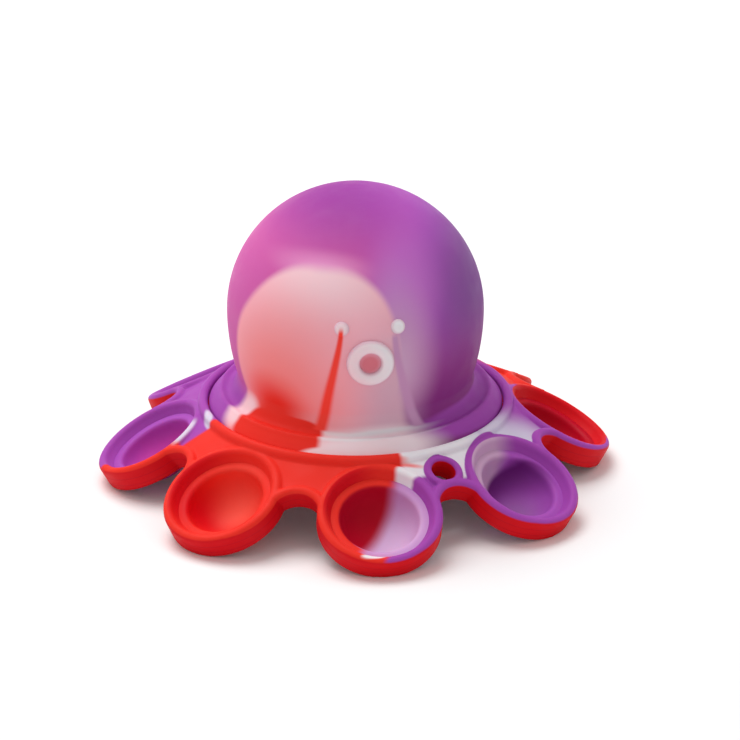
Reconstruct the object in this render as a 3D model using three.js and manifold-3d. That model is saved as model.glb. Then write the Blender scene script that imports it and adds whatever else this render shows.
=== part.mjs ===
// Octopus push popper: a marbled silicone toy with a hollow round head on a drooping skirt of eight
// round pods. Each pod holds a bubble that pops through its rim, and the crown of the head dents in.
// Millimetres, +Z up, the face looks along -Y, and the skirt stands on z = 0.
import * as THREE from "three";
import { mergeVertices, toCreasedNormals } from "three/addons/utils/BufferGeometryUtils.js";
import Module from "manifold-3d";

const wasm = await Module();
wasm.setup();

// Skirt layout: the collar round the head's foot, and the pods spaced out from it
const COLLAR_RADIUS = 39.4;
const POD_COUNT = 8;
const POD_SPACING = 12.5;
const POD_CIRCLE_RADIUS = COLLAR_RADIUS + POD_SPACING;
const POD_DROOP = THREE.MathUtils.degToRad(28.5);

// Pod rims, and the edge bead of the same section that joins them
const POD_RADIUS = 14.95;
const RIM_WIDTH = 2.4;
const RIM_HEIGHT = 6.6;
const BORE_RADIUS = 11.3;
const FOOT_FLAT = 0.3;
const NOTCH_OFFSET = 0.4;

// Bubbles
const LEDGE_DROP = 2.7;
const LEDGE_THICKNESS = 1.0;
const DISH_RADIUS = 9.4;
const DISH_DEPTH = 8.3;
const MEMBRANE = 0.9;

// Web panels between the pods, and the collar round their inner edges
const WEB_DROP = 0.5;
const WEB_THICKNESS = 3.0;
const COLLAR_HEIGHT = 3.6;
const BEAD_PROUD = 1.3;
const BEAD_WIDTH = 2.4;
const GROOVE_DEPTH = 1.3;
const SEAT_WIDTH = 1.6;

// Lanyard eyelet, and the web panel that carries it, counted as the pods are
const EYELET_RADIUS = 4.75;
const EYELET_HOLE_RADIUS = 2.95;
const EYELET_PANEL = 0;

// Head: foot ring, wall and crown
const HEAD_RADIUS = 31.8;
const HEAD_UPPER_HEIGHT = 31.4;
const HEAD_LOWER_HEIGHT = 42.7;
const HEAD_WALL = 2.6;
const HEAD_CENTRE_RISE = 23.1;
const CROWN_INSET = 5.8;
const CROWN_RADIUS = HEAD_RADIUS - CROWN_INSET;
const FOOT_RISE = 6.8;
const FOOT_EDGE_RISE = 2.5;
const FOOT_EDGE_RADIUS = 34.2;
const FOOT_EDGE_ROUND = 0.7;

// Face
const EYE_RADIUS = 1.8;
const EYE_ANGLE = THREE.MathUtils.degToRad(12.5);
const EYE_RISE = 6.7;
const EYE_PROUD = 0.8;
const EYE_SUNK = 1.2;
const MOUTH_RADIUS = 5.75;
const MOUTH_HOLE_RADIUS = 2.6;
const MOUTH_DROP = 1.9;
const MOUTH_PROUD = 0.6;
const MOUTH_SUNK = 1.3;

// Clearance between neighbouring pieces
const FIT_GAP = 0.3;

// Facets round each kind of piece, and steps along half an arc
const POD_SEGMENTS = 20;
const BUBBLE_SEGMENTS = 16;
const NOTCH_SEGMENTS = 12;
const WEB_SEGMENTS = 36;
const HEAD_SEGMENTS = 30;
const FACE_SEGMENTS = 12;
const BEND_STEPS = 2;
const DOME_STEPS = 3;
const CREASE_ANGLE = THREE.MathUtils.degToRad(35);

// Colours, front pod first and round towards +X
const PURPLE = 0x7d3c9a;
const RED = 0xc4273f;
const PINK = 0xd98a98;
const WHITE = 0xe9e4ea;
const WEB_COLOURS = [WHITE, PURPLE, RED, RED, PURPLE, PURPLE, RED, RED];
const RIM_COLOURS = [RED, PURPLE, PURPLE, RED, PURPLE, PURPLE, PURPLE, RED];
const BUBBLE_COLOURS = [PURPLE, PURPLE, RED, RED, PURPLE, PURPLE, PURPLE, RED];
const SILICONE_ROUGHNESS = 0.45;

const UP = new THREE.Vector3(0, 0, 1);
const QUARTER = Math.PI / 2;
const DROOP_SLOPE = Math.tan(POD_DROOP);

// Height of the pods' rim plane at the pod centre: each rim's lowest bend is cut off level with the ground
const RIM_BEND = RIM_WIDTH / 2;
const POD_CENTRE_HEIGHT =
  (RIM_HEIGHT - RIM_BEND) * Math.cos(POD_DROOP) +
  (POD_RADIUS - RIM_BEND) * Math.sin(POD_DROOP) +
  RIM_BEND -
  FOOT_FLAT;

// Notch between neighbouring pods: a circle that touches both rims
const HALF_STEP = Math.PI / POD_COUNT;
const POD_HALF_SPACING = POD_CIRCLE_RADIUS * Math.sin(HALF_STEP);
const POD_MIDLINE = POD_CIRCLE_RADIUS * Math.cos(HALF_STEP);
const NOTCH_RADIUS =
  (POD_HALF_SPACING ** 2 + NOTCH_OFFSET ** 2 - POD_RADIUS ** 2) / (2 * (POD_RADIUS - NOTCH_OFFSET));
const NOTCH_DROOP = Math.atan(Math.cos(HALF_STEP) * DROOP_SLOPE);
const NOTCH_DISTANCE = NOTCH_RADIUS + NOTCH_OFFSET;
const NOTCH_OUT = POD_MIDLINE + NOTCH_DISTANCE * Math.cos(NOTCH_DROOP);
const TOUCH_SHARE = POD_RADIUS / (POD_RADIUS + NOTCH_RADIUS);
const TOUCH_ASIDE = POD_HALF_SPACING * (1 - TOUCH_SHARE);
const TOUCH_OUT = POD_MIDLINE + NOTCH_DISTANCE * TOUCH_SHARE * Math.cos(NOTCH_DROOP);
const TOUCH_BACK = NOTCH_DISTANCE * (1 - TOUCH_SHARE);
const WEB_REACH = Math.hypot(TOUCH_OUT, TOUCH_ASIDE);

// Height of the edge bead's top at a distance out from the axis, midway between two pods
function edgeHeight(out) {
  const across = out * Math.cos(HALF_STEP) + TOUCH_ASIDE * Math.sin(HALF_STEP);
  return POD_CENTRE_HEIGHT - (across - POD_CIRCLE_RADIUS) * DROOP_SLOPE;
}

// Height of the web's upper face, a cone a little under the edge bead
const EDGE_OUT = POD_MIDLINE + NOTCH_OFFSET * Math.cos(NOTCH_DROOP);
function webHeight(out) {
  return edgeHeight(EDGE_OUT) - WEB_DROP - (out - EDGE_OUT) * DROOP_SLOPE;
}

// Eyelet's place, midway between the collar and the edge bead's outside
const EYELET_OUT = (COLLAR_RADIUS + EDGE_OUT) / 2;

// Heights of the collar and the head above it
const BEAD_BEND = BEAD_WIDTH / 2;
const BEAD_TOP = webHeight(COLLAR_RADIUS) + BEAD_PROUD;
const COLLAR_BOTTOM = BEAD_TOP - COLLAR_HEIGHT;
const GROOVE_FLOOR = BEAD_TOP - GROOVE_DEPTH;
const GROOVE_RADIUS = COLLAR_RADIUS - BEAD_WIDTH;
const SEAT_RADIUS = GROOVE_RADIUS - SEAT_WIDTH;
const FOOT_TOP = BEAD_TOP + FOOT_RISE;
const HEAD_CENTRE = BEAD_TOP + HEAD_CENTRE_RISE;

// Radius of the head at a height, outside (inset 0) or inside (inset HEAD_WALL)
function headRadius(height, inset) {
  const rise = height - HEAD_CENTRE;
  const halfHeight = (rise < 0 ? HEAD_LOWER_HEIGHT : HEAD_UPPER_HEIGHT) - inset;
  return (HEAD_RADIUS - inset) * Math.sqrt(1 - (rise / halfHeight) ** 2);
}

// Solid of a closed geometry, and geometry of a solid
function solidOf(geometry) {
  geometry.deleteAttribute("normal");
  geometry.deleteAttribute("uv");
  const merged = mergeVertices(geometry);
  const vertProperties = merged.attributes.position.array;
  const triVerts = new Uint32Array(merged.index.array);
  return new wasm.Manifold(new wasm.Mesh({ numProp: 3, vertProperties, triVerts }));
}

function geometryOf(solid) {
  const { vertProperties, triVerts } = solid.getMesh();
  const geometry = new THREE.BufferGeometry();
  geometry.setAttribute("position", new THREE.BufferAttribute(vertProperties, 3));
  geometry.setIndex(new THREE.BufferAttribute(triVerts, 1));
  return toCreasedNormals(geometry, CREASE_ANGLE);
}

// Solid turned about the Z axis from a profile of radius and height, moved into a frame if one is given
function turned(profile, segments, frame = new THREE.Matrix4()) {
  const geometry = new THREE.LatheGeometry(profile, segments);
  geometry.rotateX(QUARTER);
  geometry.applyMatrix4(frame);
  return solidOf(geometry);
}

// Profile of a plain disc from one height to another
function discProfile(radius, bottom, top) {
  const path = new THREE.Path();
  path.moveTo(0, bottom);
  path.lineTo(radius, bottom);
  path.lineTo(radius, top);
  path.lineTo(0, top);
  return path.getPoints();
}

// Solid block between two corners, moved into a frame
function block(low, high, frame) {
  const size = high.clone().sub(low);
  const middle = high.clone().add(low).divideScalar(2);
  const geometry = new THREE.BoxGeometry(size.x, size.y, size.z);
  geometry.translate(middle.x, middle.y, middle.z);
  geometry.applyMatrix4(frame);
  return solidOf(geometry);
}

// Direction away from the axis at an angle from the front, towards +X
function outward(angle) {
  return new THREE.Vector3(Math.sin(angle), -Math.cos(angle), 0);
}

// Frame on the skirt: x runs down the slope, z is the slope's normal
function slopeFrame(angle, out, height, droop) {
  const away = outward(angle);
  const normal = away.clone().multiplyScalar(Math.sin(droop)).addScaledVector(UP, Math.cos(droop));
  const down = away.clone().multiplyScalar(Math.cos(droop)).addScaledVector(UP, -Math.sin(droop));
  const side = new THREE.Vector3().crossVectors(normal, down);
  const origin = away.multiplyScalar(out).addScaledVector(UP, height);
  return new THREE.Matrix4().makeBasis(down, side, normal).setPosition(origin);
}

function podFrame(index) {
  return slopeFrame(2 * HALF_STEP * index, POD_CIRCLE_RADIUS, POD_CENTRE_HEIGHT, POD_DROOP);
}

function notchFrame(index, out) {
  return slopeFrame(HALF_STEP * (2 * index + 1), out, edgeHeight(out), NOTCH_DROOP);
}

// Frame on the head's outside: z is the surface normal
function headFrame(angle, height) {
  const radius = headRadius(height, 0);
  const rise = height - HEAD_CENTRE;
  const halfHeight = rise < 0 ? HEAD_LOWER_HEIGHT : HEAD_UPPER_HEIGHT;
  const droop = Math.atan2(radius / HEAD_RADIUS ** 2, rise / halfHeight ** 2);
  return slopeFrame(angle, radius, height, droop);
}

// Bead with round top and bottom, between two radii; the waist is its narrowest inside radius
function beadProfile(inner, outer, waist) {
  const bend = (outer - inner) / 2;
  const middle = (outer + inner) / 2;
  const path = new THREE.Path();
  path.moveTo(outer, bend - RIM_HEIGHT);
  path.lineTo(outer, -bend);
  path.absarc(middle, -bend, bend, 0, Math.PI, false);
  path.lineTo(waist, -RIM_HEIGHT / 2);
  path.lineTo(inner, bend - RIM_HEIGHT);
  path.absarc(middle, bend - RIM_HEIGHT, bend, Math.PI, 2 * Math.PI, false);
  return path.getPoints(BEND_STEPS);
}

// Ground and the collar's clearance, which the pods and the web keep clear of
const REACH = POD_CIRCLE_RADIUS + POD_RADIUS;
const ground = turned(discProfile(REACH, -RIM_HEIGHT, 0), POD_COUNT);
const collarClearance = turned(
  discProfile(COLLAR_RADIUS + FIT_GAP, COLLAR_BOTTOM - FIT_GAP, BEAD_TOP + RIM_HEIGHT),
  WEB_SEGMENTS,
);

function podRim(index) {
  const profile = beadProfile(POD_RADIUS - RIM_WIDTH, POD_RADIUS, BORE_RADIUS);
  return turned(profile, POD_SEGMENTS, podFrame(index)).subtract(collarClearance).subtract(ground);
}

function bubble(index) {
  const ledgeRadius = BORE_RADIUS - FIT_GAP;
  const domeRadius = DISH_RADIUS + MEMBRANE;
  const domeDepth = DISH_DEPTH + MEMBRANE;
  const underside = Math.asin(LEDGE_THICKNESS / domeDepth);
  const path = new THREE.Path();
  path.absellipse(0, -LEDGE_DROP, domeRadius, domeDepth, -QUARTER, -underside, false);
  path.lineTo(ledgeRadius, -LEDGE_DROP - LEDGE_THICKNESS);
  path.lineTo(ledgeRadius, -LEDGE_DROP);
  path.absellipse(0, -LEDGE_DROP, DISH_RADIUS, DISH_DEPTH, 0, -QUARTER, true);
  return turned(path.getPoints(DOME_STEPS), BUBBLE_SEGMENTS, podFrame(index)).subtract(collarClearance);
}

// Web: a sloping plate round the collar, from which the panels are cut
function webProfile() {
  const inner = COLLAR_RADIUS + FIT_GAP;
  const lower = WEB_THICKNESS / Math.cos(POD_DROOP);
  const path = new THREE.Path();
  path.moveTo(inner, webHeight(inner) - lower);
  path.lineTo(WEB_REACH, webHeight(WEB_REACH) - lower);
  path.lineTo(WEB_REACH, webHeight(WEB_REACH));
  path.lineTo(inner, webHeight(inner));
  path.closePath();
  return path.getPoints();
}

const webPlate = turned(webProfile(), WEB_SEGMENTS);

// Sector of the skirt from the middle of one pod to the middle of the next
function sector(index) {
  const shape = new THREE.Shape();
  shape.moveTo(0, 0);
  for (const pod of [index, index + 1]) {
    const corner = outward(2 * HALF_STEP * pod).multiplyScalar(2 * POD_CIRCLE_RADIUS);
    shape.lineTo(corner.x, corner.y);
  }
  return solidOf(new THREE.ExtrudeGeometry(shape, { depth: BEAD_TOP + RIM_HEIGHT, bevelEnabled: false }));
}

function collarProfile() {
  const path = new THREE.Path();
  path.moveTo(SEAT_RADIUS, COLLAR_BOTTOM);
  path.lineTo(COLLAR_RADIUS, COLLAR_BOTTOM);
  path.lineTo(COLLAR_RADIUS, BEAD_TOP - BEAD_BEND);
  path.absarc(COLLAR_RADIUS - BEAD_BEND, BEAD_TOP - BEAD_BEND, BEAD_BEND, 0, Math.PI, false);
  path.lineTo(GROOVE_RADIUS, GROOVE_FLOOR);
  path.lineTo(SEAT_RADIUS, GROOVE_FLOOR);
  path.closePath();
  return path.getPoints(BEND_STEPS);
}

// Edge bead round one notch, from the rim that it touches on one side to the rim on the other
function edgeBead(frame) {
  const reach = NOTCH_RADIUS + RIM_WIDTH;
  const ring = turned(beadProfile(NOTCH_RADIUS, reach, NOTCH_RADIUS), NOTCH_SEGMENTS, frame);
  const low = new THREE.Vector3(-reach, -reach, -RIM_HEIGHT);
  const high = new THREE.Vector3(-TOUCH_BACK, reach, 0);
  return ring.intersect(block(low, high, frame));
}

function eyeletDisc(radius, past) {
  const profile = discProfile(radius, -RIM_HEIGHT - past, past);
  return turned(profile, NOTCH_SEGMENTS, notchFrame(EYELET_PANEL, EYELET_OUT));
}

// Web panel between two pods: its share of the plate, cut to its notch and clear of the pods and the collar
function webPanel(index) {
  const podClearance = discProfile(POD_RADIUS + FIT_GAP, -2 * RIM_HEIGHT, RIM_HEIGHT);
  const notchCut = discProfile(NOTCH_RADIUS + RIM_BEND, -2 * RIM_HEIGHT, RIM_HEIGHT);
  const frame = notchFrame(index, NOTCH_OUT);
  let panel = webPlate.intersect(sector(index)).subtract(turned(notchCut, NOTCH_SEGMENTS, frame));
  panel = panel.add(edgeBead(frame));
  if (index === EYELET_PANEL) {
    panel = panel.add(eyeletDisc(EYELET_RADIUS, 0)).subtract(eyeletDisc(EYELET_HOLE_RADIUS, RIM_HEIGHT));
  }
  for (const pod of [index, index + 1]) {
    panel = panel.subtract(turned(podClearance, POD_SEGMENTS, podFrame(pod)));
  }
  return panel.subtract(collarClearance);
}

// Foot ring: a thin flange that fillets off the head's wall to a ledge, with a band down into the groove
function headFoot() {
  const edge = BEAD_TOP + FOOT_EDGE_RISE;
  const filletFoot = FOOT_EDGE_RADIUS - FOOT_EDGE_ROUND;
  const seat = GROOVE_FLOOR + FIT_GAP;
  const path = new THREE.Path();
  const fillet = (inset, from, to) =>
    path.absellipse(
      filletFoot,
      FOOT_TOP,
      filletFoot - headRadius(FOOT_TOP, inset),
      FOOT_TOP - edge + inset,
      from,
      to,
      from > to,
    );
  fillet(HEAD_WALL, Math.PI, Math.PI + QUARTER);
  path.lineTo(SEAT_RADIUS, seat);
  path.lineTo(GROOVE_RADIUS - FIT_GAP, seat);
  path.lineTo(FOOT_EDGE_RADIUS, edge - FOOT_EDGE_ROUND);
  path.absarc(filletFoot, edge - FOOT_EDGE_ROUND, FOOT_EDGE_ROUND, 0, QUARTER, false);
  fillet(0, Math.PI + QUARTER, Math.PI);
  path.closePath();
  return turned(path.getPoints(BEND_STEPS), HEAD_SEGMENTS);
}

// Face pieces: a domed stud for each eye and a round-topped ring for the mouth, each in its own pocket
function eyeProfile(gap) {
  const path = new THREE.Path();
  path.moveTo(0, -EYE_SUNK - gap);
  path.lineTo(EYE_RADIUS + gap, -EYE_SUNK - gap);
  path.lineTo(EYE_RADIUS + gap, 0);
  path.absellipse(0, 0, EYE_RADIUS + gap, EYE_PROUD + gap, 0, QUARTER, false);
  return path.getPoints(BEND_STEPS);
}

function mouthProfile(gap) {
  const outer = MOUTH_RADIUS + gap;
  const inner = MOUTH_HOLE_RADIUS - gap;
  const middle = (outer + inner) / 2;
  const path = new THREE.Path();
  path.moveTo(inner, -MOUTH_SUNK - gap);
  path.lineTo(outer, -MOUTH_SUNK - gap);
  path.lineTo(outer, 0);
  path.absellipse(middle, 0, outer - middle, MOUTH_PROUD + gap, 0, Math.PI, false);
  path.closePath();
  return path.getPoints(BEND_STEPS);
}

const eyeFrames = [-EYE_ANGLE, EYE_ANGLE].map((angle) => headFrame(angle, HEAD_CENTRE + EYE_RISE));
const mouthFrame = headFrame(0, HEAD_CENTRE - MOUTH_DROP);

// Head wall and crown: one hollow shell parted along a cylinder, so that the crown can sink straight in
function partingAngle(radius, inset) {
  return Math.acos(radius / (HEAD_RADIUS - inset));
}

function headWall() {
  const hole = CROWN_RADIUS + FIT_GAP;
  const bottom = FOOT_TOP + FIT_GAP;
  const lowerAngle = (inset) => Math.asin((bottom - HEAD_CENTRE) / (HEAD_LOWER_HEIGHT - inset));
  const path = new THREE.Path();
  const arc = (inset, halfHeight, from, to) =>
    path.absellipse(0, HEAD_CENTRE, HEAD_RADIUS - inset, halfHeight - inset, from, to, from > to);
  arc(0, HEAD_LOWER_HEIGHT, lowerAngle(0), 0);
  arc(0, HEAD_UPPER_HEIGHT, 0, partingAngle(hole, 0));
  arc(HEAD_WALL, HEAD_UPPER_HEIGHT, partingAngle(hole, HEAD_WALL), 0);
  arc(HEAD_WALL, HEAD_LOWER_HEIGHT, 0, lowerAngle(HEAD_WALL));
  path.closePath();
  let wall = turned(path.getPoints(DOME_STEPS), HEAD_SEGMENTS);
  for (const frame of eyeFrames) {
    wall = wall.subtract(turned(eyeProfile(FIT_GAP), FACE_SEGMENTS, frame));
  }
  return wall.subtract(turned(mouthProfile(FIT_GAP), FACE_SEGMENTS, mouthFrame));
}

function headCrown() {
  const path = new THREE.Path();
  const arc = (inset, from, to) =>
    path.absellipse(0, HEAD_CENTRE, HEAD_RADIUS - inset, HEAD_UPPER_HEIGHT - inset, from, to, from > to);
  arc(HEAD_WALL, QUARTER, partingAngle(CROWN_RADIUS, HEAD_WALL));
  arc(0, partingAngle(CROWN_RADIUS, 0), QUARTER);
  return turned(path.getPoints(DOME_STEPS), HEAD_SEGMENTS);
}

// Assembly
const octopus = new THREE.Group();

function addPiece(name, solid, color) {
  const material = new THREE.MeshStandardMaterial({ color, roughness: SILICONE_ROUGHNESS, metalness: 0 });
  const mesh = new THREE.Mesh(geometryOf(solid), material);
  mesh.name = name;
  octopus.add(mesh);
}

addPiece("collar", turned(collarProfile(), WEB_SEGMENTS), RED);
for (let index = 0; index < POD_COUNT; index += 1) {
  addPiece(`web_${index + 1}`, webPanel(index), WEB_COLOURS[index]);
  addPiece(`pod_rim_${index + 1}`, podRim(index), RIM_COLOURS[index]);
  addPiece(`bubble_${index + 1}`, bubble(index), BUBBLE_COLOURS[index]);
}
addPiece("head_foot", headFoot(), PINK);
addPiece("head_wall", headWall(), PINK);
addPiece("head_crown", headCrown(), PURPLE);
addPiece("eye_left", turned(eyeProfile(0), FACE_SEGMENTS, eyeFrames[0]), WHITE);
addPiece("eye_right", turned(eyeProfile(0), FACE_SEGMENTS, eyeFrames[1]), WHITE);
addPiece("mouth_ring", turned(mouthProfile(0), FACE_SEGMENTS, mouthFrame), WHITE);

export default octopus;
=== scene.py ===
# Looks of the octopus push popper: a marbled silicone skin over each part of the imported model.
# The skirt, the head and each bubble are one skin apiece, and the face pieces are white.
import math
from typing import NamedTuple

import bpy
import numpy as np
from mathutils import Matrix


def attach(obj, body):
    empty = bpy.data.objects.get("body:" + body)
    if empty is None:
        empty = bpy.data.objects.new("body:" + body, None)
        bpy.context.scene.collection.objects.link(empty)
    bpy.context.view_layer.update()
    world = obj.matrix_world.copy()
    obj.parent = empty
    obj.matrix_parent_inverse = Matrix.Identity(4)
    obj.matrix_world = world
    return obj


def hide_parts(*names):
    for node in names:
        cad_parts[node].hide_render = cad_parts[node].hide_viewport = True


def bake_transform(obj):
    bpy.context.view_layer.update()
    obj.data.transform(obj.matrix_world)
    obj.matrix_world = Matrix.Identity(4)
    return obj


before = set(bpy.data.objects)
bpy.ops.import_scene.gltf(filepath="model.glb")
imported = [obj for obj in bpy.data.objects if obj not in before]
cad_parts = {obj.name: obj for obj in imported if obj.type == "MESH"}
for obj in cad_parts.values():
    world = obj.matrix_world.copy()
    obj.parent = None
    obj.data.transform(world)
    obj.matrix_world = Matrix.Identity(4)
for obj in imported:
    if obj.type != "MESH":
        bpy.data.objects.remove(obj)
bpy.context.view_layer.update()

import openvdb
from mathutils import Matrix, Vector

MM = 0.001

# Skirt layout, in millimetres as all sizes of the object
COLLAR_RADIUS = 39.4
POD_COUNT = 8
POD_SPACING = 12.5
POD_CIRCLE_RADIUS = COLLAR_RADIUS + POD_SPACING
POD_DROOP = math.radians(28.5)

# Pod rims, and the edge bead of the same section that joins them
POD_RADIUS = 14.95
RIM_WIDTH = 2.4
RIM_HEIGHT = 6.6
BORE_RADIUS = 11.3
FOOT_FLAT = 0.3
NOTCH_OFFSET = 0.4

# Bubbles
LEDGE_DROP = 2.7
LEDGE_ROOT = 1.0
DISH_RADIUS = 9.4
DISH_DEPTH = 8.3
LIP_ROUND = 0.8
MEMBRANE = 0.9

# Web panels between the pods, and the collar round their inner edges
WEB_DROP = 0.5
WEB_SINK = 0.8
WEB_THICKNESS = 3.0
COLLAR_HEIGHT = 3.6
BEAD_PROUD = 1.3
BEAD_WIDTH = 2.4
GROOVE_DEPTH = 1.3
SEAT_WIDTH = 1.6

# Lanyard eyelet on the web
EYELET_RADIUS = 4.75
EYELET_HOLE_RADIUS = 2.95

# Head and its foot ring
HEAD_RADIUS = 31.8
HEAD_UPPER_HEIGHT = 31.4
HEAD_LOWER_HEIGHT = 42.7
HEAD_WALL = 2.6
HEAD_CENTRE_RISE = 23.1
CROWN_INSET = 5.8
FOOT_RISE = 6.8
FOOT_EDGE_RISE = 2.5
FOOT_EDGE_RADIUS = 34.2
FOOT_EDGE_ROUND = 0.7
RIDGE_END_DEGREES = 150
VALLEY_DROP = 0.6
BAND_ROOT = 0.8

# Face
EYE_RADIUS = 1.8
EYE_ANGLE = math.radians(12.5)
EYE_RISE = 6.7
EYE_PROUD = 0.8
EYE_SUNK = 1.2
MOUTH_RADIUS = 5.75
MOUTH_HOLE_RADIUS = 2.6
MOUTH_DROP = 1.9
MOUTH_PROUD = 1.0
MOUTH_SUNK = 1.3

# Soft joins of the moulded skin, and the spacing of its mesh
FIT_GAP = 0.3
FILLET = 0.35
SKIN_STEP = 0.49
SKIN_MARGIN = 2.0
PROBE_STEP = SKIN_STEP / 10
SETTLE_PASSES = 3
LEAST_SLOPE = 0.5
HEAD_STEP = 0.36
SOFTEN_PASSES = 2
ROUND_STEPS = 160
BUBBLE_STEPS = 96
FACE_STEPS = 48
ARC_STEPS = 24

# Camera, fitted to the photograph: in metres, with its lens and sensor in millimetres
CAMERA_TURN = math.radians(-6.726)
CAMERA_TILT = math.radians(22.671)
CAMERA_DISTANCE = 0.7892
CAMERA_AIM = Vector((0.003464, -0.001376, 0.02735))
CAMERA_LENS = 154.05
CAMERA_SENSOR = 36

# Values worked out from the sizes above, as in the solid model
RIM_BEND = RIM_WIDTH / 2
RIM_INNER = POD_RADIUS - RIM_WIDTH
RIM_MIDDLE = POD_RADIUS - RIM_BEND
BEAD_BEND = BEAD_WIDTH / 2
DROOP_SLOPE = math.tan(POD_DROOP)
POD_CENTRE_HEIGHT = (
    (RIM_HEIGHT - RIM_BEND) * math.cos(POD_DROOP)
    + RIM_MIDDLE * math.sin(POD_DROOP)
    + RIM_BEND
    - FOOT_FLAT
)
HALF_STEP = math.pi / POD_COUNT
POD_HALF_SPACING = POD_CIRCLE_RADIUS * math.sin(HALF_STEP)
POD_MIDLINE = POD_CIRCLE_RADIUS * math.cos(HALF_STEP)
NOTCH_RADIUS = (POD_HALF_SPACING**2 + NOTCH_OFFSET**2 - POD_RADIUS**2) / (2 * (POD_RADIUS - NOTCH_OFFSET))
NOTCH_DROOP = math.atan(math.cos(HALF_STEP) * DROOP_SLOPE)
NOTCH_DISTANCE = NOTCH_RADIUS + NOTCH_OFFSET
NOTCH_OUT = POD_MIDLINE + NOTCH_DISTANCE * math.cos(NOTCH_DROOP)
TOUCH_SHARE = POD_RADIUS / (POD_RADIUS + NOTCH_RADIUS)
TOUCH_ASIDE = POD_HALF_SPACING * (1 - TOUCH_SHARE)
TOUCH_OUT = POD_MIDLINE + NOTCH_DISTANCE * TOUCH_SHARE * math.cos(NOTCH_DROOP)
TOUCH_BACK = NOTCH_DISTANCE * (1 - TOUCH_SHARE)
WEB_REACH = math.hypot(TOUCH_OUT, TOUCH_ASIDE)
EDGE_OUT = POD_MIDLINE + NOTCH_OFFSET * math.cos(NOTCH_DROOP)


def edge_height(out):
    """Height of the edge bead's top at a distance out from the axis, midway between two pods"""
    across = out * math.cos(HALF_STEP) + TOUCH_ASIDE * math.sin(HALF_STEP)
    return POD_CENTRE_HEIGHT - (across - POD_CIRCLE_RADIUS) * DROOP_SLOPE


def web_height(out):
    """Height of the web's upper face"""
    return edge_height(EDGE_OUT) - WEB_DROP - (out - EDGE_OUT) * DROOP_SLOPE


BEAD_TOP = web_height(COLLAR_RADIUS) + BEAD_PROUD
COLLAR_BOTTOM = BEAD_TOP - COLLAR_HEIGHT
GROOVE_FLOOR = BEAD_TOP - GROOVE_DEPTH
GROOVE_RADIUS = COLLAR_RADIUS - BEAD_WIDTH
SEAT_RADIUS = GROOVE_RADIUS - SEAT_WIDTH
EYELET_OUT = (COLLAR_RADIUS + EDGE_OUT) / 2
FOOT_TOP = BEAD_TOP + FOOT_RISE
FOOT_EDGE = BEAD_TOP + FOOT_EDGE_RISE
HEAD_CENTRE = BEAD_TOP + HEAD_CENTRE_RISE
MM_PER_DEGREE = HEAD_RADIUS * math.radians(1)


# Shapes of the skirt, as distances from a surface: negative inside
def join(first, second):
    """Union of two shapes with a soft fillet between them"""
    share = np.clip(0.5 + 0.5 * (second - first) / FILLET, 0, 1)
    return second + (first - second) * share - FILLET * share * (1 - share)


def slope_frame(away, rise, droop):
    """Distances down a slope and above it, from distances outward and upward"""
    down = away * math.cos(droop) - rise * math.sin(droop)
    above = away * math.sin(droop) + rise * math.cos(droop)
    return down, above


def bead(radius, above, middle, bend):
    """Upright ring with round top and bottom, as high as the rims"""
    straight = RIM_HEIGHT / 2 - bend
    beyond = np.maximum(np.abs(above + RIM_HEIGHT / 2) - straight, 0)
    return np.hypot(radius - middle, beyond) - bend


def rim_slope(radius, above):
    """Slope on the inside of a rim, from its top bend in to the bore at mid height"""
    level = np.abs(above + RIM_HEIGHT / 2)
    run = RIM_INNER - BORE_RADIUS
    drop = RIM_HEIGHT / 2 - RIM_BEND
    slant = ((RIM_INNER - radius) * drop + (level - drop) * run) / math.hypot(run, drop)
    return np.maximum.reduce([slant, radius - RIM_MIDDLE, level - drop])


def ring_box(out, height, inner, outer, bottom, top):
    """Ring of rectangular section round the axis"""
    return np.maximum.reduce([inner - out, out - outer, bottom - height, height - top])


class SkirtPlace(NamedTuple):
    """Where points lie against the features of the skirt"""

    out: np.ndarray
    height: np.ndarray
    pod_radius: np.ndarray
    above_pod: np.ndarray
    notch_down: np.ndarray
    notch_radius: np.ndarray
    above_notch: np.ndarray
    eyelet_radius: np.ndarray
    above_eyelet: np.ndarray
    above_web: np.ndarray


def skirt_place(x, y, z):
    """Folds points into one pod's sector and measures them there"""
    out = np.hypot(x, y)
    around = np.arctan2(x, -y)
    fold = np.abs(around - 2 * HALF_STEP * np.round(around / (2 * HALF_STEP)))
    beside = HALF_STEP - fold
    aside = around - HALF_STEP
    pod_down, above_pod = slope_frame(
        out * np.cos(fold) - POD_CIRCLE_RADIUS, z - POD_CENTRE_HEIGHT, POD_DROOP
    )
    notch_down, above_notch = slope_frame(
        out * np.cos(beside) - NOTCH_OUT, z - edge_height(NOTCH_OUT), NOTCH_DROOP
    )
    eyelet_down, above_eyelet = slope_frame(
        out * np.cos(aside) - EYELET_OUT, z - edge_height(EYELET_OUT), NOTCH_DROOP
    )
    return SkirtPlace(
        out,
        z,
        np.hypot(pod_down, out * np.sin(fold)),
        above_pod,
        notch_down,
        np.hypot(notch_down, out * np.sin(beside)),
        above_notch,
        np.hypot(eyelet_down, out * np.sin(aside)),
        above_eyelet,
        (z - web_height(out)) * math.cos(POD_DROOP),
    )


def web_distance(p):
    """Distance to the web panels, which lie a little below the tops of their beads"""
    return np.maximum.reduce(
        [
            p.above_web + WEB_SINK,
            -p.above_web - WEB_THICKNESS,
            p.out - WEB_REACH,
            COLLAR_RADIUS - BEAD_BEND - p.out,
            RIM_MIDDLE - p.pod_radius,
            NOTCH_RADIUS + RIM_BEND - p.notch_radius,
        ]
    )


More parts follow.
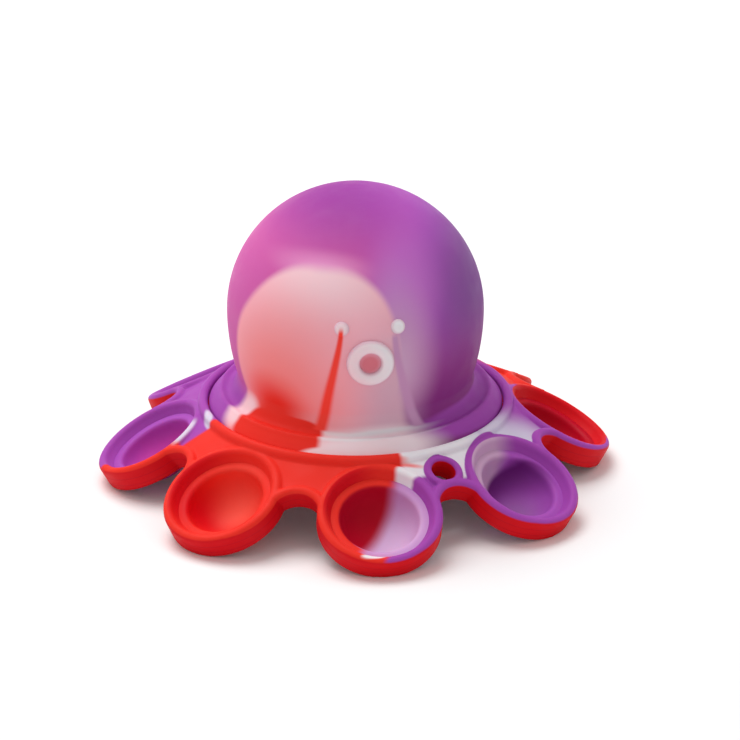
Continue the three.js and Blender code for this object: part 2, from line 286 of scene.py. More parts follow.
def collar_distance(p):
    """Distance to the collar: its round bead, the wall below that and the seat under the groove"""
    top = np.hypot(p.out - COLLAR_RADIUS + BEAD_BEND, p.height - BEAD_TOP + BEAD_BEND) - BEAD_BEND
    wall_top = BEAD_TOP - BEAD_BEND
    seat_top = GROOVE_FLOOR - BAND_ROOT
    wall = ring_box(p.out, p.height, GROOVE_RADIUS, COLLAR_RADIUS, COLLAR_BOTTOM, wall_top)
    seat = ring_box(p.out, p.height, SEAT_RADIUS, COLLAR_RADIUS, COLLAR_BOTTOM, seat_top)
    return np.minimum(top, np.minimum(wall, seat))


def skirt_distance(x, y, z):
    """Distance to the whole skirt: rims, edge beads, web, collar and eyelet"""
    p = skirt_place(x, y, z)
    rim = bead(p.pod_radius, p.above_pod, RIM_MIDDLE, RIM_BEND)
    rim = join(rim, rim_slope(p.pod_radius, p.above_pod))
    edge = bead(p.notch_radius, p.above_notch, NOTCH_RADIUS + RIM_BEND, RIM_BEND)
    edge = np.maximum.reduce([edge, p.notch_down + TOUCH_BACK, RIM_MIDDLE - p.pod_radius])
    boss_bend = (EYELET_RADIUS - EYELET_HOLE_RADIUS) / 2
    boss = bead(p.eyelet_radius, p.above_eyelet, EYELET_RADIUS - boss_bend, boss_bend)
    skirt = join(np.minimum(rim, edge), web_distance(p))
    skirt = join(skirt, collar_distance(p))
    skirt = np.maximum(join(skirt, boss), EYELET_HOLE_RADIUS - p.eyelet_radius)
    return np.maximum(skirt, -z)


def skirt_layers(p):
    """Depth below the top of the upper layer, distance off the beads and distance off the rim's crest"""
    depth = np.minimum(-p.above_pod, -p.above_web)
    depth = np.where(p.out < COLLAR_RADIUS, np.minimum(depth, BEAD_TOP - p.height), depth)
    inside = (p.pod_radius < RIM_MIDDLE) & (p.above_pod > -RIM_HEIGHT / 2)
    groove = (p.out < COLLAR_RADIUS - BEAD_BEND) & (p.height > GROOVE_FLOOR - BAND_ROOT)
    into_web = np.minimum.reduce(
        [
            WEB_REACH - p.out,
            p.pod_radius - RIM_MIDDLE,
            p.notch_radius - NOTCH_RADIUS - RIM_BEND,
            p.eyelet_radius - (EYELET_RADIUS + EYELET_HOLE_RADIUS) / 2,
            p.above_web + (WEB_SINK + WEB_THICKNESS) / 2,
        ]
    )
    depth = np.where(inside | groove | (into_web > 0), 0, depth)
    off_rim = p.pod_radius - POD_RADIUS
    off_notch = p.notch_radius - NOTCH_RADIUS - RIM_WIDTH
    off_beads = np.minimum.reduce([off_rim, p.eyelet_radius - EYELET_RADIUS, off_notch])
    return np.stack([depth, off_beads, p.pod_radius - RIM_MIDDLE], 1)


# Mesh making
def add_object(name, data):
    """Object in the scene with a mesh, a light or a camera"""
    thing = bpy.data.objects.new(name, data)
    bpy.context.scene.collection.objects.link(thing)
    return thing


def add_piece(name, points, faces):
    """Smooth-shaded mesh object from points in millimetres, which it keeps as its rest places"""
    mesh = bpy.data.meshes.new(name)
    mesh.from_pydata((points * MM).tolist(), [], faces)
    mesh.shade_smooth()
    keep(mesh, "rest", points)
    return add_object(name, mesh)


def keep(mesh, name, vectors):
    """Stores one vector for each point, for the material to read"""
    attribute = mesh.attributes.new(name, "FLOAT_VECTOR", "POINT")
    attribute.data.foreach_set("vector", np.asarray(vectors, np.float32).ravel())


def settle(points, distance):
    """Moves points along the slope of a distance until they lie on its surface"""
    for _ in range(SETTLE_PASSES):
        here = distance(*points)
        ahead = [distance(*(points + PROBE_STEP * axis[:, None])) for axis in np.eye(3)]
        slope = (np.array(ahead) - here) / PROBE_STEP
        points = points - here * slope / np.maximum((slope**2).sum(0), LEAST_SLOPE**2)
    return points


def turned_points(profile, steps):
    """Points of a profile of radius and height, turned about the Z axis ring by ring"""
    angles = np.arange(steps) * 2 * math.pi / steps
    return [(r * math.sin(a), -r * math.cos(a), z) for r, z in profile for a in angles]


def band_faces(low, high, steps):
    """Faces between two rings of points, given by the first point of each"""
    return [(low + k, low + (k + 1) % steps, high + (k + 1) % steps, high + k) for k in range(steps)]


def turned_sheet(profile, steps):
    """Points and faces of a sheet turned about the Z axis, which closes on the axis at its last point"""
    points = turned_points(profile[:-1], steps)
    tip = len(points)
    last = tip - steps
    points.append((0, 0, profile[-1][1]))
    faces = []
    for low in range(0, last, steps):
        faces += band_faces(low, low + steps, steps)
    faces += [(last + k, last + (k + 1) % steps, tip) for k in range(steps)]
    return np.array(points), faces


def turned_ring(profile, steps):
    """Points and faces of a closed section turned about the Z axis"""
    points = turned_points(profile, steps)
    faces = []
    for low in range(0, len(points), steps):
        faces += band_faces(low, (low + steps) % len(points), steps)
    return np.array(points), faces


def arc(centre, radii, start, end):
    """Points of an elliptic arc of radius and height, angles in degrees"""
    angles = np.radians(np.linspace(start, end, ARC_STEPS))
    return [(centre[0] + radii[0] * math.cos(a), centre[1] + radii[1] * math.sin(a)) for a in angles]


def even_path(corners, spacing):
    """A path of evenly spaced points along corners, softened by a few passes that keep its ends"""
    corners = np.array(corners)
    along = np.concatenate([[0], np.cumsum(np.hypot(*np.diff(corners, axis=0).T))])
    places = np.linspace(0, along[-1], int(along[-1] / spacing) + 1)
    path = np.stack([np.interp(places, along, corners[:, k]) for k in (0, 1)], 1)
    for _ in range(SOFTEN_PASSES):
        path[1:-1] = (path[:-2] + 2 * path[1:-1] + path[2:]) / 4
    return path


def place_matrix(angle, out, height, droop):
    """Frame on the object: z is the surface normal, tilted outward by the droop"""
    away = Vector((math.sin(angle), -math.cos(angle), 0))
    up = Vector((0, 0, 1))
    normal = away * math.sin(droop) + up * math.cos(droop)
    down = away * math.cos(droop) - up * math.sin(droop)
    side = normal.cross(down)
    turn = Matrix((down, side, normal)).transposed().to_4x4()
    return Matrix.Translation(away * out + up * height) @ turn


def placed(points, matrix):
    """Points moved into a frame"""
    return points @ np.array(matrix.to_3x3()).T + np.array(matrix.translation)


def thicken(piece, thickness):
    """Gives a sheet its wall, on the side away from its normals"""
    wall = piece.modifiers.new("wall", "SOLIDIFY")
    wall.thickness = thickness * MM
    wall.offset = -1


def head_half_height(rise):
    """Half height of the head's outline, which is taller below its widest place than above it"""
    return HEAD_LOWER_HEIGHT if rise < 0 else HEAD_UPPER_HEIGHT


def head_radius(height):
    """Outside radius of the head at a height"""
    rise = height - HEAD_CENTRE
    return HEAD_RADIUS * math.sqrt(1 - (rise / head_half_height(rise)) ** 2)


def head_matrix(angle, height):
    """Frame on the outside of the head, z out along its normal"""
    radius = head_radius(height)
    rise = height - HEAD_CENTRE
    droop = math.atan2(radius / HEAD_RADIUS**2, rise / head_half_height(rise) ** 2)
    return place_matrix(angle, radius, height, droop)


def pod_angle(index):
    """Angle of a pod from the front, towards +X"""
    return 2 * HALF_STEP * index


# Pieces
def skirt_skin():
    """Rims, web, edge beads, collar and eyelet as one moulded skin"""
    reach = POD_CIRCLE_RADIUS + POD_RADIUS + SKIN_MARGIN
    low = np.array([-reach, -reach, -SKIN_MARGIN])
    high = np.array([reach, reach, BEAD_TOP + SKIN_MARGIN])
    axes = [np.arange(a, b, SKIN_STEP, dtype=np.float32) for a, b in zip(low, high)]
    field = skirt_distance(*np.meshgrid(*axes, indexing="ij"))
    grid = openvdb.FloatGrid(SKIN_MARGIN)
    grid.copyFromArray(field.astype(np.float32))
    points, quads = grid.convertToQuads(0)[:2]
    points = settle((points.astype(float) * SKIN_STEP + low).T, skirt_distance)
    piece = add_piece("skirt_skin", points.T, quads.tolist())
    keep(piece.data, "layer", skirt_layers(skirt_place(*points)))
    piece.data.materials.append(skirt_material())
    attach(piece, "skirt")
    repeated = [f"{kind}_{k + 1}" for kind in ("web", "pod_rim") for k in range(POD_COUNT)]
    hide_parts("collar", *repeated)


def bubble_skin(index):
    """Ledge, lip and dish of one pod as one thin sheet"""
    ledge = [(BORE_RADIUS + LEDGE_ROOT, -LEDGE_DROP), (DISH_RADIUS + LIP_ROUND, -LEDGE_DROP)]
    lip = arc((DISH_RADIUS + LIP_ROUND, -LEDGE_DROP - LIP_ROUND), (LIP_ROUND, LIP_ROUND), 90, 180)
    dish = arc((0, -LEDGE_DROP - LIP_ROUND), (DISH_RADIUS, DISH_DEPTH - LIP_ROUND), 0, -90)
    path = even_path(ledge + lip[1:] + dish[1:], SKIN_STEP)
    points, faces = turned_sheet(path, BUBBLE_STEPS)
    matrix = place_matrix(pod_angle(index), POD_CIRCLE_RADIUS, POD_CENTRE_HEIGHT, POD_DROOP)
    piece = add_piece(f"bubble_skin_{index + 1}", placed(points, matrix), faces)
    keep(piece.data, "layer", points)
    piece.data.materials.append(bubble_material(index))
    thicken(piece, MEMBRANE)
    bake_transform(piece)
    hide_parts(f"bubble_{index + 1}")


def head_skin():
    """Foot band, ledge, wall and crown of the head as one hollow sheet"""
    band_radius = GROOVE_RADIUS - FIT_GAP
    band = [(band_radius, GROOVE_FLOOR - BAND_ROOT), (band_radius, GROOVE_FLOOR + FIT_GAP)]
    ridge_middle = FOOT_EDGE_RADIUS - FOOT_EDGE_ROUND
    ridge_centre = (ridge_middle, FOOT_EDGE - FOOT_EDGE_ROUND)
    ridge = arc(ridge_centre, (FOOT_EDGE_ROUND, FOOT_EDGE_ROUND), 0, RIDGE_END_DEGREES)
    valley = ridge_middle - 2 * FOOT_EDGE_ROUND
    fillet_reach = valley - head_radius(FOOT_TOP)
    fillet = arc((valley, FOOT_TOP), (fillet_reach, FOOT_TOP - FOOT_EDGE + VALLEY_DROP), 270, 180)
    foot_angle = math.degrees(math.asin((FOOT_TOP - HEAD_CENTRE) / HEAD_LOWER_HEIGHT))
    lower = arc((0, HEAD_CENTRE), (HEAD_RADIUS, HEAD_LOWER_HEIGHT), foot_angle, 0)
    upper = arc((0, HEAD_CENTRE), (HEAD_RADIUS, HEAD_UPPER_HEIGHT), 0, 90)
    path = even_path(band + ridge + fillet + lower[1:] + upper[1:], HEAD_STEP)
    points, faces = turned_sheet(path, ROUND_STEPS)
    piece = add_piece("head_skin", points, faces)
    piece.data.materials.append(head_material())
    thicken(piece, HEAD_WALL)
    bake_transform(piece)
    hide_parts("head_foot", "head_wall", "head_crown")


def eye_dot(name, angle):
    """White domed dot on the head"""
    dome = arc((0, 0), (EYE_RADIUS, EYE_PROUD), 0, 90)
    points, faces = turned_sheet([(EYE_RADIUS, -EYE_SUNK)] + dome, FACE_STEPS)
    piece = add_piece(f"{name}_dot", placed(points, head_matrix(angle, HEAD_CENTRE + EYE_RISE)), faces)
    finish_face_piece(piece, name, np.hypot(*points.T[:2]) / EYE_RADIUS)


def mouth_skin():
    """White round-topped ring on the head"""
    middle = (MOUTH_RADIUS + MOUTH_HOLE_RADIUS) / 2
    half = (MOUTH_RADIUS - MOUTH_HOLE_RADIUS) / 2
    section = [(middle - half, -MOUTH_SUNK), (middle + half, -MOUTH_SUNK)]
    section += arc((middle, 0), (half, MOUTH_PROUD), 0, 180)
    points, faces = turned_ring(section, FACE_STEPS)
    piece = add_piece("mouth_skin", placed(points, head_matrix(0, HEAD_CENTRE - MOUTH_DROP)), faces)
    finish_face_piece(piece, "mouth_ring", np.abs(np.hypot(*points.T[:2]) - middle) / half)


def finish_face_piece(piece, node, edge):
    """Gives a face piece its material, body and CAD node, and keeps how near its edge each point is"""
    keep(piece.data, "layer", np.stack([edge, edge, edge], 1))
    piece.data.materials.append(face_material(node))
    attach(piece, "skirt")
    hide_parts(node)


# Colours as they show in plain light; some stand for painted shade or painted highlights where they are
# used
RED = "f03226"
# Darker red of the lower layer, partly its own colour and partly painted shade on its walls; also painted
# shade inside some rims and one dish
SHADED_CRIMSON = "da0c1a"
SCARLET_HIGHLIGHT = "ff6050"
POPPY = "ff4538"
# Darker dish red, partly painted shade in the red dishes; also the tint of the parting lines
RUBY = "bc0022"
CORAL = "fd8c8c"
MOUTH_HOLE_SHADE = "de7a88"
PINK = "ffb8c6"
SHELL = "fdd2da"
ROSE = "ea96ca"
FUCHSIA = "c876cc"
MALLOW = "cc8ccc"
BLUSH = "fee8ee"
PEARL = "f4eef2"
FROST = "dcd2e6"
ORCHID = "d15ea8"
CERISE = "cc48b0"
MAGENTA = "9a3a9a"
AMETHYST = "b055bc"
PURPLE = "a84ab0"
SHADED_VIOLET = "885098"
GRAPE_HIGHLIGHT = "a566ae"
WISTERIA = "cc98c0"
SHADED_PLUM = "8a3080"
SHADED_DAMSON = "6a1870"
LILAC = "e4c2ea"
HAZE = "d2a8c8"
MAUVE = "dcb0c2"


class Swirl(NamedTuple):
    """A soft-edged patch of colour: its middle, its reach each way, how much of the reach its edge takes,
    whether it keeps to the list's mask, and how square it is: an ellipse at 2"""

    colour: str
    middle: tuple
    reach: tuple
    softness: float
    masked: bool = False
    squareness: float = 2


class Streak(NamedTuple):
    """A run of colour down the head, from an angle in degrees and a height in mm: nearly straight for some
    mm, then aside by some degrees per mm, with its half width in mm and how much that grows per mm"""

    colour: str
    angle: float
    top: float
    straight: float
    slant: float
    width: float
    growth: float


# Fields of colour over the whole head, by place seen from the front in mm; masked ones keep to the front
HEAD_FIELDS = [
    Swirl(MAGENTA, (-4, 84), (36, 15.5), 0.5),
    Swirl(AMETHYST, (24, 60), (18.5, 26), 0.7),
    # Violet and plum to the right are partly the head's colour and partly painted shade on its darker side
    Swirl(SHADED_VIOLET, (30, 54), (12, 20), 0.8),
    Swirl(SHADED_PLUM, (24, 21), (20, 22), 0.5),
    Swirl(ROSE, (-10, 62.8), (8, 2.6), 0.8, True),
    Swirl(FUCHSIA, (8.5, 57), (7, 9), 0.8, True),
    Swirl(PURPLE, (-40, 20), (16, 9), 0.25),
]

# Patches on the head, by angle from the front in degrees and height in mm; three together outline the face
HEAD_SWIRLS = [
    Swirl(HAZE, (12, 40), (13, 14), 1.0),
]
FACE_PATCH = [
    Swirl(PINK, (-31, 35), (42, 28), 0.05),
    Swirl(PINK, (-22, 35), (35.5, 28), 0.05, squareness=3),
    Swirl(PINK, (-10, 22), (28, 22), 0.12),
]
FACE_SWIRLS = [
    # The pale shell across the top of the face is a painted highlight
    Swirl(SHELL, (-26, 64), (34, 10), 0.8),
    Swirl(MAUVE, (16, 30), (22, 18), 0.7),
    Swirl(CORAL, (-44, 32), (28, 18), 0.9),
    Swirl(RED, (-48, 25), (15, 8), 0.7),
    # Darker pink in the mouth's hole is painted shade in the recess
    Swirl(MOUTH_HOLE_SHADE, (0, 41.8), (4.4, 2.4), 0.4),
]
FOOT_SWIRLS = [
    Swirl(PURPLE, (84, 22.5), (62, 3.2), 0.15),
    Swirl(BLUSH, (0, 20.5), (27, 3.6), 0.4),
    # The thin pearl line along the foot's ridge is a painted highlight
    Swirl(PEARL, (-2, 23.1), (24, 0.5), 0.8),
    Swirl(SHELL, (-66, 23.3), (6.5, 3.2), 0.5),
    Swirl(RED, (-42, 21.8), (21, 3.6), 0.08, squareness=3),
    Swirl(BLUSH, (-17, 19.5), (11, 1.8), 0.2),
]

# Runs of colour below the eyes
LILAC_RUN = Streak(WISTERIA, 11, 49.5, 22, 1.05, 0.7, 0.03)
RED_RUN = Streak(POPPY, -12.6, 51.4, 6, -0.46, 0.48, 0.042)

# Patches on the skirt's upper layer, by place seen from above in mm; masked ones keep off the beads
SKIRT_SWIRLS = [
    Swirl(FROST, (-37.3, -9.4), (1, 3.2), 0.4),
    Swirl(PEARL, (14, -32), (14.5, 10), 0.06, True),
    Swirl(CORAL, (8, -39.4), (3.4, 0.5), 0.8, True),
    Swirl(RED, (-32, -45), (39.2, 33), 0.02),
    Swirl(RED, (-62, -18), (18, 15), 0.04),
    Swirl(RED, (66, 40), (38, 41), 0.04),
    Swirl(FROST, (42, -23), (7, 8), 0.8, True),
    Swirl(FROST, (33, -26), (8, 8), 0.6, True),
    Swirl(PEARL, (8, -41.8), (3.2, 1.9), 0.25),
    Swirl(PEARL, (-3, -62.9), (2.6, 0.8), 0.3),
]

# Patches on the insides of the rims, over those of the upper layer: the crimson ones are painted shade
# inside pods 3 and 8 and on the red side of pod 1
RIM_SWIRLS = [
    Swirl(SHADED_CRIMSON, (51, 0), (16, 16), 0.1),
    Swirl(HAZE, (28, -31), (8, 8), 0.4),
    Swirl(SHADED_CRIMSON, (-42, -31), (9, 9), 0.5),
    Swirl(SHADED_CRIMSON, (-9, -45), (8, 9), 0.5),
]

# Patches along the crests of the rims
CREST_SWIRLS = [
    Swirl(FROST, (-43, -10), (4, 4.5), 0.4, True),
]

# Base colour of each bubble and the patches on it, front pod first: by place down its slope and to its side
# in mm from the middle; masked ones keep to the ledge
# The ruby of the red dishes is darker than the rims' red partly as painted shade in the dish
BUBBLE_BASES = [MALLOW, AMETHYST, RUBY, RUBY, PURPLE, PURPLE, PURPLE, RED]
BUBBLE_SWIRLS = [
    [
        # Pod 1: the lilac spot in the middle of the dish is a painted highlight, and the ruby of its red
        # side is partly painted shade
        Swirl(LILAC, (2, 2.5), (8, 7), 0.8),
        Swirl(RUBY, (-19, -30.5), (36, 36), 0.06),
        Swirl(RED, (-14.8, -31.8), (36, 36), 0.04, True),
    ],
    [
        Swirl(HAZE, (-13, -5.5), (9.5, 11), 0.2),
        # Pod 2: the damson bowl is partly its colour and partly painted shade on its upper-left wall; the
        # amethyst over its lower right is painted light and the grape spot a painted highlight
        Swirl(SHADED_DAMSON, (0.6, 3), (7.8, 7.8), 0.1),
        Swirl(AMETHYST, (7, 3), (9, 9), 0.6),
        Swirl(GRAPE_HIGHLIGHT, (3, 1), (4, 4), 0.9),
    ],
    [],
    [],
    [],
    [],
    [Swirl(CERISE, (0, 0), (9, 9), 0.2), Swirl(AMETHYST, (-4, 0), (14, 14), 0.3, True)],
    # Pod 8: painted shade on the left wall of the dish and a painted highlight in its middle
    [Swirl(SHADED_CRIMSON, (3, -7), (6, 6), 0.8), Swirl(SCARLET_HIGHLIGHT, (-3.3, -0.6), (5, 5), 0.9)],
]

# Marbling: the noise that draws out the edges of the patches
MARBLE_SCALE = 0.045
MARBLE_WARP = 2.0

# The skirt's two layers, by depth in mm: where the lower one begins, and the parting lines on it
LAYER_TOP = 0.4
LAYER_EDGE = 0.2
PARTING_DEPTHS = (2.5, 4.4)
PARTING_WIDTH = 0.25
PARTING_TINT = 0.4

# Runs and face pieces: a run's tip in mm, its side edges in half widths, clouds of pink and tinted edges,
# partly pink showing through thin white and partly painted shade on their rounding
STREAK_TIP = 2.0
STREAK_EDGE = (0.4, 1.6)
CLOUD_SCALE = 0.3
CLOUD_RANGE = (0.3, 0.9)
CLOUD_SHARE = (0.6, 1.0)
EDGE_RANGE = (0.5, 1.1)
EDGE_TINT = 0.8

# Silicone finish
GRAIN_SCALE = 3.0
GRAIN_HEIGHT = 0.1
BUMP_STRENGTH = 0.15
BUMP_DEPTH = 0.2
ROUGHNESS = (0.5, 0.62)
ROUGHNESS_SCALE = 4 * MARBLE_SCALE
ROUGHNESS_RANGE = (0.3, 0.7)
REFRACTION = 1.41
SPECULAR_LEVEL = 0.15
SUBSURFACE_SHARE = 0.12
SUBSURFACE_SPREAD = (1.0, 0.4, 0.35)
SUBSURFACE_DEPTH = 2.0


def linear(colour):
    """Linear colour from its usual six digits"""
    values = [int(colour[k : k + 2], 16) / 255 for k in (0, 2, 4)]
    return [v / 12.92 if v <= 0.04045 else ((v + 0.055) / 1.055) ** 2.4 for v in values] + [1]


class Shader:
    """The nodes of a material or of the world, with one method for each kind of step"""

    def __init__(self, owner, main):
        owner.use_nodes = True
        self.owner = owner
        self.nodes = owner.node_tree.nodes
        self.links = owner.node_tree.links
        self.main = self.nodes[main]

    def put(self, socket, value):
        """Links a socket to another step, or sets its plain value"""
        if isinstance(value, bpy.types.NodeSocket):
            self.links.new(value, socket)
        else:
            socket.default_value = value

    def step(self, kind, output=0, settings=(), **values):
        """Adds a node, with sockets named in words joined by underscores"""
        node = self.nodes.new(kind)
        for name, value in dict(settings).items():
            setattr(node, name, value)
        for name, value in values.items():
            self.put(node.inputs[name.replace("_", " ")], value)
        return node.outputs[output]

    def math(self, operation, first, second=0.0):
        """One or two numbers to a number"""
        node = self.nodes.new("ShaderNodeMath")
        node.operation = operation
        self.put(node.inputs[0], first)
        self.put(node.inputs[1], second)
        return node.outputs[0]

    def vector(self, operation, first, second=(0, 0, 0)):
        """One or two vectors to a vector or its length"""
        node = self.nodes.new("ShaderNodeVectorMath")
        node.operation = operation
        self.put(node.inputs[0], first)
        self.put(node.inputs[1], second)
        return node.outputs["Value" if operation == "LENGTH" else "Vector"]

    def attribute(self, name):
        """A vector kept with the mesh"""
        return self.step("ShaderNodeAttribute", "Vector", {"attribute_name": name})

    def parts(self, vector):
        """The three numbers of a vector"""
        node = self.nodes.new("ShaderNodeSeparateXYZ")
        self.put(node.inputs[0], vector)
        return node.outputs[:]

    def join(self, x, y, z=0.0):
        """A vector from its numbers"""
        return self.step("ShaderNodeCombineXYZ", X=x, Y=y, Z=z)

    def fade(self, value, start, end, first=1.0, last=0.0):
        """A smooth change from a first to a last number while a value goes from start to end"""
        node = self.nodes.new("ShaderNodeMapRange")
        node.interpolation_type = "SMOOTHSTEP"
        for socket, number in zip(node.inputs, (value, start, end, first, last)):
            self.put(socket, number)
        return node.outputs[0]

    def mix(self, share, first, second):
        """A colour with a share of a second one in it"""
        node = self.nodes.new("ShaderNodeMix")
        node.data_type = "RGBA"
        self.put(node.inputs["Factor"], share)
        self.put([s for s in node.inputs if s.identifier == "A_Color"][0], first)
        self.put([s for s in node.inputs if s.identifier == "B_Color"][0], second)
        return [s for s in node.outputs if s.identifier == "Result_Color"][0]

    def noise(self, place, scale, output="Fac"):
        """Cloudy noise, as a number or a colour"""
        return self.step("ShaderNodeTexNoise", output, Vector=place, Scale=scale)

    def seen(self):
        """1 where the camera, a reflection or a view through glass looks, and 0 for plain light"""
        rays = self.nodes.new("ShaderNodeLightPath").outputs
        share = self.math("MAXIMUM", rays["Is Camera Ray"], rays["Is Glossy Ray"])
        return self.math("MAXIMUM", share, rays["Is Transmission Ray"])


def surface_shader(name):
    """Nodes of a new material"""
    return Shader(bpy.data.materials.new(name), "Principled BSDF")


def warped(shader, place, rest):
    """A place with its edges drawn out by slow noise, as the colours flowed in the mould"""
    drift = shader.vector("SUBTRACT", shader.noise(rest, MARBLE_SCALE, "Color"), (0.5, 0.5, 0.5))
    return shader.vector("ADD", place, shader.vector("MULTIPLY", drift, (MARBLE_WARP, MARBLE_WARP, 0)))


def patch(shader, place, swirl):
    """How much of a swirl's colour shows at a place"""
    offset = shader.vector("SUBTRACT", place, (*swirl.middle, 0))
    total = 0.0
    for part in shader.parts(shader.vector("DIVIDE", offset, (*swirl.reach, 1)))[:2]:
        power = shader.math("POWER", shader.math("ABSOLUTE", part), swirl.squareness)
        total = shader.math("ADD", power, total)
    distance = shader.math("POWER", total, 1 / swirl.squareness)
    return shader.fade(distance, 1 - swirl.softness, 1 + swirl.softness)


def swirled(shader, place, base, swirls, mask=1.0):
    """Patches of colour over a base, one after another"""
    colour = base
    for swirl in swirls:
        share = patch(shader, place, swirl)
        if swirl.masked:
            share = shader.math("MULTIPLY", share, mask)
        colour = shader.mix(share, colour, linear(swirl.colour))
    return colour


def streaked(shader, place, base, streaks):
    """Thin runs of colour down the head, which turn aside and widen as they fall"""
    angle, height, _ = shader.parts(place)
    colour = base
    for streak in streaks:
        fall = shader.math("SUBTRACT", streak.top, height)
        turn = shader.vector("LENGTH", shader.join(fall, streak.straight))
        path = shader.math("MULTIPLY", shader.math("SUBTRACT", turn, streak.straight), streak.slant)
        path = shader.math("ADD", path, streak.angle)
        aside = shader.math("ABSOLUTE", shader.math("SUBTRACT", angle, path))
        aside = shader.math("MULTIPLY", aside, MM_PER_DEGREE)
        width = shader.math("ADD", shader.math("MULTIPLY", fall, streak.growth), streak.width)
        share = shader.fade(shader.math("DIVIDE", aside, width), *STREAK_EDGE)
        tip = shader.fade(fall, 0, STREAK_TIP, 0.0, 1.0)
        foot = shader.fade(height, FOOT_EDGE, FOOT_EDGE + VALLEY_DROP, 0.0, 1.0)
        share = shader.math("MULTIPLY", shader.math("MULTIPLY", share, tip), foot)
        colour = shader.mix(share, colour, linear(streak.colour))
    return colour


def finish_silicone(shader, colour, rest, relief=None):
    """Satin silicone: uneven roughness, a fine moulded grain and a little light under the skin"""
    surface = shader.main
    roughness = shader.fade(shader.noise(rest, ROUGHNESS_SCALE), *ROUGHNESS_RANGE, *ROUGHNESS)
    shader.put(surface.inputs["Base Color"], colour)
    shader.put(surface.inputs["Roughness"], roughness)
    surface.inputs["IOR"].default_value = REFRACTION
    surface.inputs["Specular IOR Level"].default_value = SPECULAR_LEVEL
    surface.inputs["Subsurface Weight"].default_value = SUBSURFACE_SHARE
    surface.inputs["Subsurface Radius"].default_value = SUBSURFACE_SPREAD
    surface.inputs["Subsurface Scale"].default_value = SUBSURFACE_DEPTH * MM
    height = shader.math("MULTIPLY", shader.noise(rest, GRAIN_SCALE), GRAIN_HEIGHT)
    if relief is not None:
        height = shader.math("SUBTRACT", height, relief)
    bump = shader.step("ShaderNodeBump", Height=height, Strength=BUMP_STRENGTH, Distance=BUMP_DEPTH * MM)
    shader.put(surface.inputs["Normal"], bump)
    return shader.owner


def head_place(shader, rest):
    """Angle from the front in degrees and height in mm"""
    x, y, z = shader.parts(rest)
    angle = shader.math("ARCTAN2", x, shader.math("MULTIPLY", y, -1))
    return shader.join(shader.math("DEGREES", angle), z)


def head_material():
    """Orchid to violet, darker to the right partly as painted shade, with the face patch, the foot's
    patches and both runs
    """
    shader = surface_shader("head_silicone")
    rest = shader.attribute("rest")
    place = head_place(shader, rest)
    flow = warped(shader, place, rest)
    x, y, z = shader.parts(rest)
    front = shader.fade(y, -CROWN_INSET, CROWN_INSET)
    colour = swirled(shader, shader.join(x, z), linear(ORCHID), HEAD_FIELDS, front)
    colour = swirled(shader, flow, colour, HEAD_SWIRLS)
    face = swirled(shader, flow, linear(PINK), FACE_SWIRLS)
    share = 0.0
    for swirl in FACE_PATCH:
        share = shader.math("MAXIMUM", share, patch(shader, flow, swirl))
    colour = shader.mix(share, colour, face)
    colour = swirled(shader, flow, colour, FOOT_SWIRLS)
    colour = streaked(shader, place, colour, [LILAC_RUN, RED_RUN])
    return finish_silicone(shader, colour, rest)


def face_material(name):
    """White with clouds of pink to the left, mauve edges that are partly pink showing through and partly
    painted shade, and the red run where it crosses
    """
    shader = surface_shader(f"{name}_silicone")
    rest = shader.attribute("rest")
    place = head_place(shader, rest)
    spread = math.degrees(EYE_ANGLE)
    cloud = shader.fade(shader.noise(rest, CLOUD_SCALE), *CLOUD_RANGE, *CLOUD_SHARE)
    left = shader.fade(shader.parts(place)[0], -spread, spread)
    tint = shader.mix(shader.math("MULTIPLY", cloud, left), linear(PEARL), linear(SHELL))
    edge = shader.parts(shader.attribute("layer"))[0]
    # Mauve towards the edges: partly pink showing through the thin white, partly painted shade on the
    # rounding
    tint = shader.mix(shader.fade(edge, *EDGE_RANGE, 0.0, EDGE_TINT), tint, linear(MAUVE))
    colour = streaked(shader, place, tint, [RED_RUN])
    return finish_silicone(shader, colour, rest)


def skirt_material():
    """Patched upper layer, with painted shade inside some rims, over a crimson lower one whose darker red
    is partly painted shade on its walls, with fine parting lines
    """
    shader = surface_shader("skirt_silicone")
    rest = shader.attribute("rest")
    depth, off_beads, off_crest = shader.parts(shader.attribute("layer"))
    place = warped(shader, shader.vector("MULTIPLY", rest, (1, 1, 0)), rest)
    mask = shader.fade(off_beads, 0, FIT_GAP, 0.0, 1.0)
    upper = swirled(shader, place, linear(PURPLE), SKIRT_SWIRLS, mask)
    inner = swirled(shader, place, upper, RIM_SWIRLS)
    upper = shader.mix(shader.fade(off_crest, -FIT_GAP, 0), upper, inner)
    crest = shader.fade(shader.math("ABSOLUTE", off_crest), RIM_BEND / 2, RIM_BEND)
    upper = swirled(shader, place, upper, CREST_SWIRLS, crest)
    # The lower layer's crimson is partly painted shade on its downward-facing walls
    lower = shader.fade(depth, LAYER_TOP - LAYER_EDGE, LAYER_TOP + LAYER_EDGE, 0.0, 1.0)
    colour = shader.mix(lower, upper, linear(SHADED_CRIMSON))
    relief = None
    for parting in PARTING_DEPTHS:
        aside = shader.math("ABSOLUTE", shader.math("SUBTRACT", depth, parting))
        line = shader.fade(aside, 0, PARTING_WIDTH)
        relief = line if relief is None else shader.math("MAXIMUM", relief, line)
    colour = shader.mix(shader.math("MULTIPLY", relief, PARTING_TINT), colour, linear(RUBY))
    return finish_silicone(shader, colour, rest, relief)


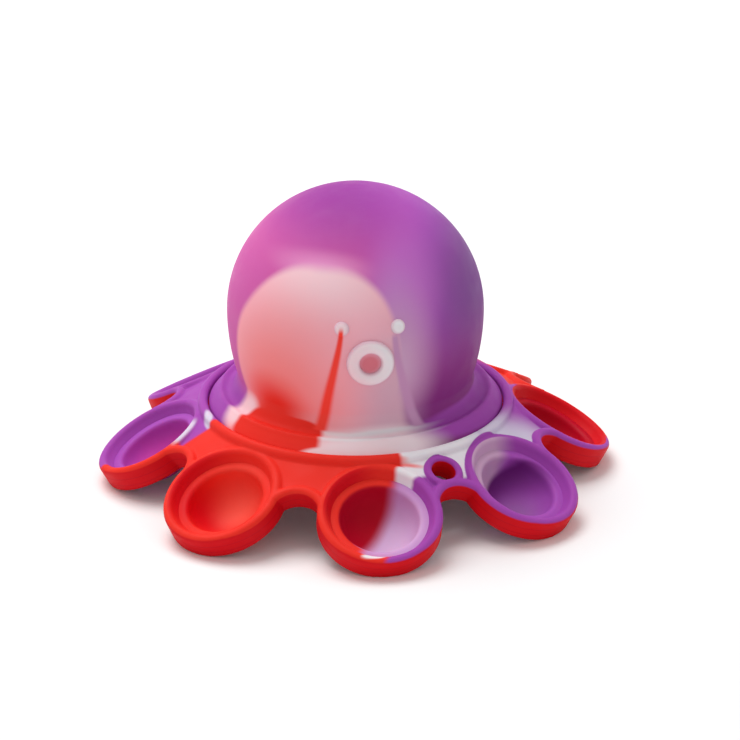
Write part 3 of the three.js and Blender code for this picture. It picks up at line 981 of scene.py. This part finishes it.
def bubble_material(index):
    """Patches of one bubble over its base colour"""
    shader = surface_shader(f"bubble_silicone_{index + 1}")
    rest = shader.attribute("rest")
    across = shader.vector("MULTIPLY", shader.attribute("layer"), (1, 1, 0))
    ledge = shader.fade(shader.vector("LENGTH", across), DISH_RADIUS, DISH_RADIUS + LIP_ROUND, 0.0, 1.0)
    base = linear(BUBBLE_BASES[index])
    colour = swirled(shader, warped(shader, across, rest), base, BUBBLE_SWIRLS[index], ledge)
    return finish_silicone(shader, colour, rest)


# Stage: pale floor, soft light and the photograph's camera, in metres
WHITE = "ffffff"
FLOOR_COLOUR = "fbfbfb"
FLOOR_HALF_WIDTH = 4.0
FLOOR_GLOW = 0.03
FAR_GLOW = 0.5
FAR_FLOOR = (0.2, 1.2)
SKY_STRENGTH = 0.52
KEY_PLACE = Vector((-0.22, 0.28, 0.9))
KEY_WIDTH = 0.7
KEY_WATTS = 7.0


def add_floor():
    """Pale paper, which glows a little to the eye so that it turns white further off"""
    mesh = bpy.data.meshes.new("floor")
    w = FLOOR_HALF_WIDTH
    mesh.from_pydata([(-w, -w, 0), (w, -w, 0), (w, w, 0), (-w, w, 0)], [], [(0, 1, 2, 3)])
    shader = surface_shader("floor_paper")
    shader.put(shader.main.inputs["Base Color"], linear(FLOOR_COLOUR))
    shader.main.inputs["Roughness"].default_value = 1
    shader.main.inputs["Specular IOR Level"].default_value = 0
    shader.put(shader.main.inputs["Emission Color"], linear(WHITE))
    distance = shader.vector("LENGTH", shader.step("ShaderNodeNewGeometry", "Position"))
    glow = shader.fade(distance, *FAR_FLOOR, FLOOR_GLOW, FAR_GLOW)
    shader.put(shader.main.inputs["Emission Strength"], shader.math("MULTIPLY", shader.seen(), glow))
    mesh.materials.append(shader.owner)
    floor = add_object("floor", mesh)


def add_light():
    """White sky that lights the object softly, and one large lamp above and behind"""
    world = bpy.data.worlds.new("studio")
    bpy.context.scene.world = world
    sky = Shader(world, "Background")
    sky.put(sky.main.inputs["Color"], linear(WHITE))
    sky.put(sky.main.inputs["Strength"], sky.fade(sky.seen(), 0, 1, SKY_STRENGTH, 1.0))
    light = bpy.data.lights.new("key", "AREA")
    light.energy = KEY_WATTS
    light.size = KEY_WIDTH
    lamp = add_object("key", light)
    lamp.location = KEY_PLACE
    lamp.rotation_euler = (CAMERA_AIM - KEY_PLACE).to_track_quat("-Z", "Y").to_euler()


def add_camera():
    """The photograph's camera, at a turn, tilt and distance from its aim"""
    back = Vector(
        (
            math.sin(CAMERA_TURN) * math.cos(CAMERA_TILT),
            -math.cos(CAMERA_TURN) * math.cos(CAMERA_TILT),
            math.sin(CAMERA_TILT),
        )
    )
    data = bpy.data.cameras.new("camera")
    data.lens = CAMERA_LENS
    data.sensor_width = CAMERA_SENSOR
    camera = add_object("camera", data)
    camera.location = CAMERA_AIM + back * CAMERA_DISTANCE
    camera.rotation_euler = (-back).to_track_quat("-Z", "Y").to_euler()
    bpy.context.scene.camera = camera


add_camera()
add_light()
add_floor()
skirt_skin()
for pod in range(POD_COUNT):
    bubble_skin(pod)
head_skin()
eye_dot("eye_left", -EYE_ANGLE)
eye_dot("eye_right", EYE_ANGLE)
mouth_skin()
bpy.context.scene.view_settings.view_transform = "Standard"
